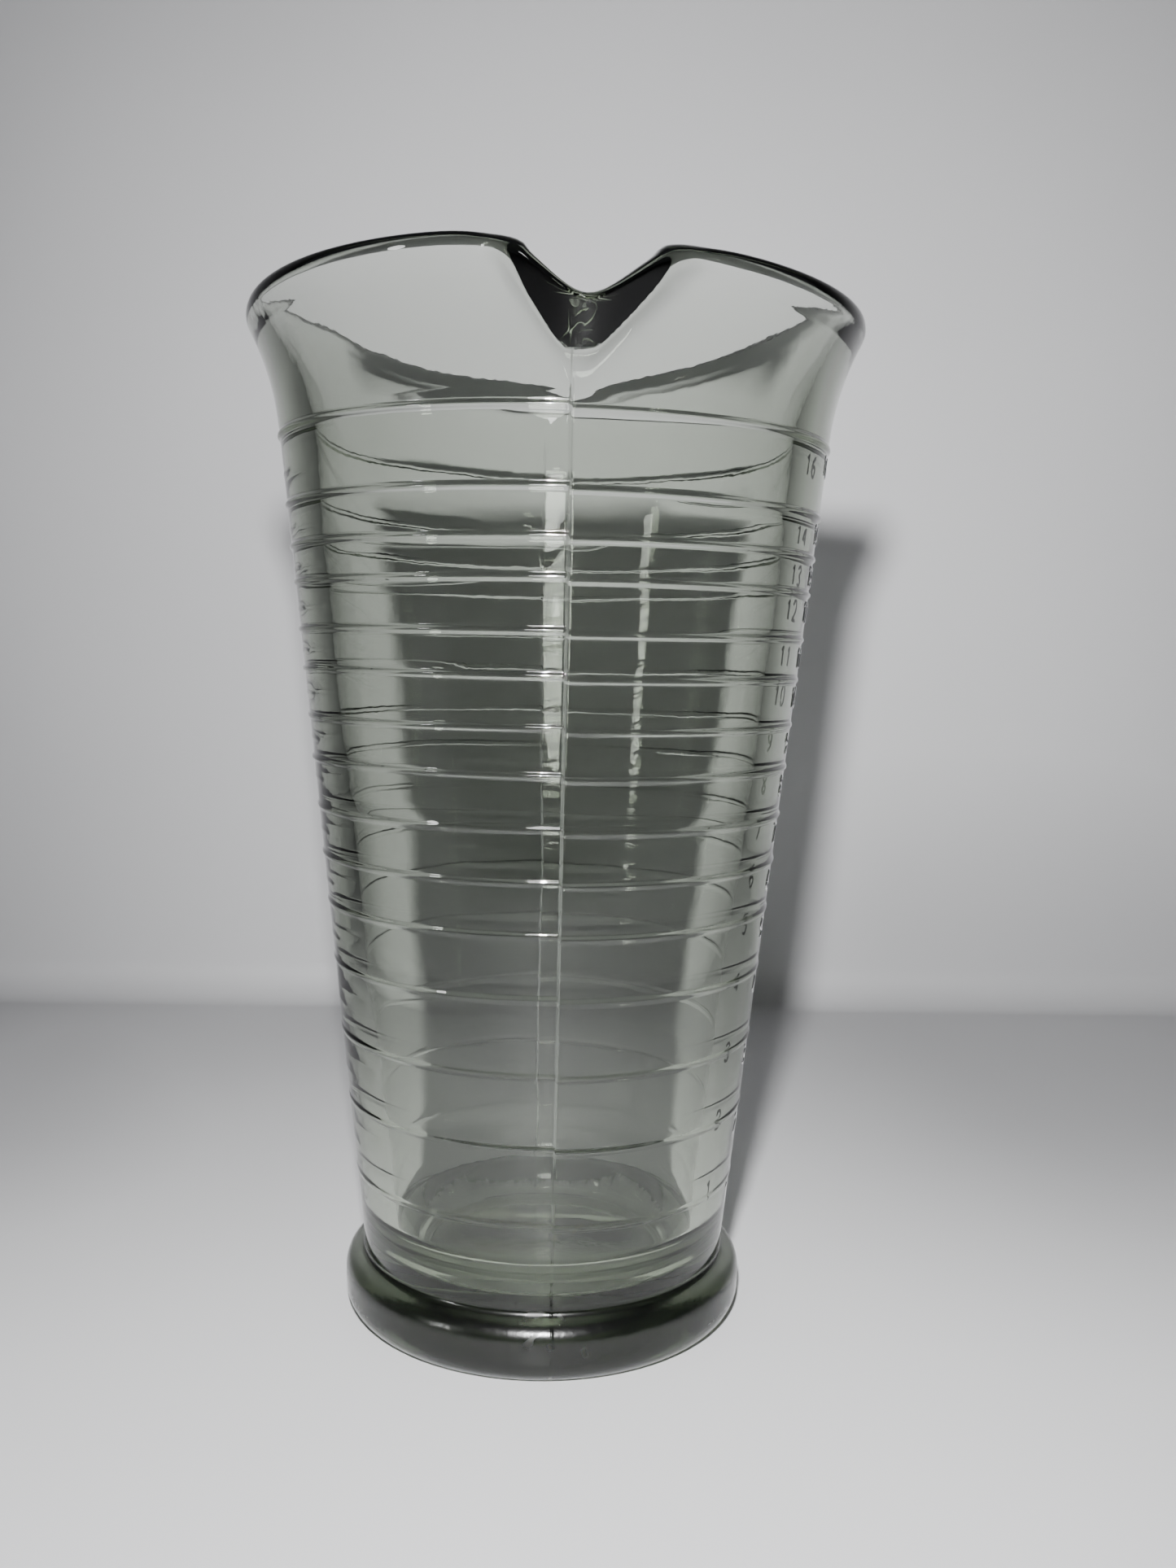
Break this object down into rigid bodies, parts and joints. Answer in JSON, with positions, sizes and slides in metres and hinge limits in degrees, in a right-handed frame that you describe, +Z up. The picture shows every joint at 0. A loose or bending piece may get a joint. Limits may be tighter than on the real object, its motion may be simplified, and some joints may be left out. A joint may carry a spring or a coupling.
{
  "type": "conical glass measure",
  "caption": "Heavy pressed-glass conical measure with a flared rim, a V-shaped pour lip, raised graduation rings and a thick foot.",
  "frame": {"origin": "on the measure's axis, in the plane that the foot stands on", "axes": "+Z up along the measure's axis; -Y towards the pour lip; +X to the right seen from the pour lip, the side with the numerals"},
  "size_m": [0.1002, 0.1057, 0.166],
  "materials": {
    "glass": "clear pressed soda-lime glass with a faint green tint, fire-polished"
  },
  "bodies": {
    "root": {"foot_ring": "glass", "glass_body": "glass", "pour_lip": "glass", "graduation_rings": "glass", "half_graduations": "glass", "scale_numerals": "glass", "mould_seams": "glass"}
  },
  "joints": []
}
